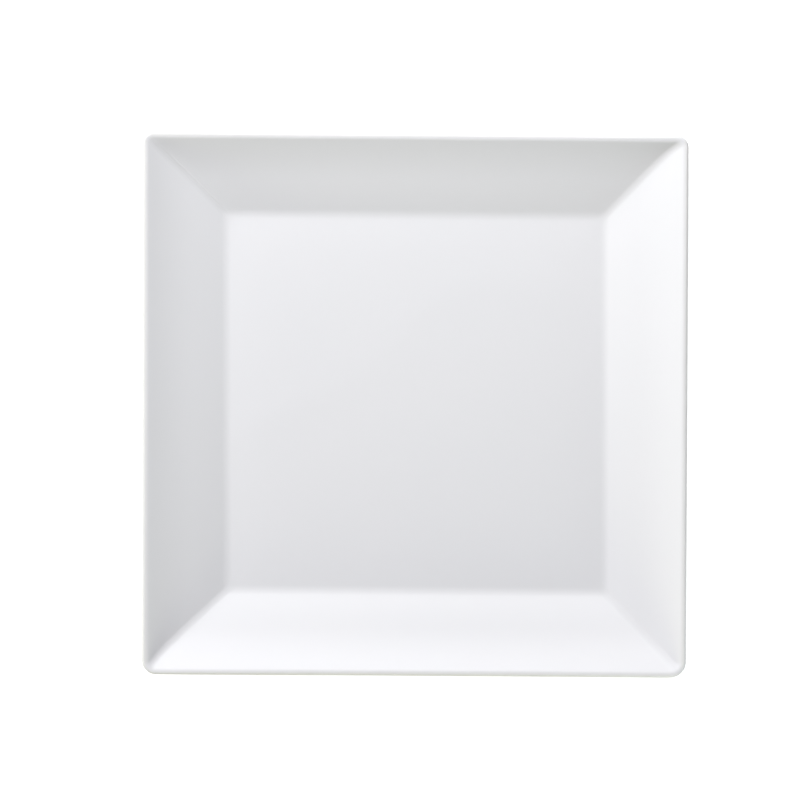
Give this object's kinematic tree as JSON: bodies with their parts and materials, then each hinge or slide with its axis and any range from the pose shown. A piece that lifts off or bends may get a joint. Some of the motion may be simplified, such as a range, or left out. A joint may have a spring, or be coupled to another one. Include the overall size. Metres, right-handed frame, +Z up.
{
  "type": "square dinner plate",
  "caption": "Square glazed porcelain dinner plate with a flat well, a wide sloping rim mitred at the corners, a round lip and a bare foot ring.",
  "frame": {"origin": "on the table, under the middle of the plate", "axes": "+Z up out of the well, X and Y square to the sides of the rim"},
  "size_m": [0.265, 0.265, 0.026],
  "materials": {
    "porcelain": "matte",
    "glaze": "gloss"
  },
  "bodies": {
    "root": {"porcelain_body": "porcelain", "outer_glaze": "glaze", "base_glaze": "glaze"}
  },
  "joints": []
}
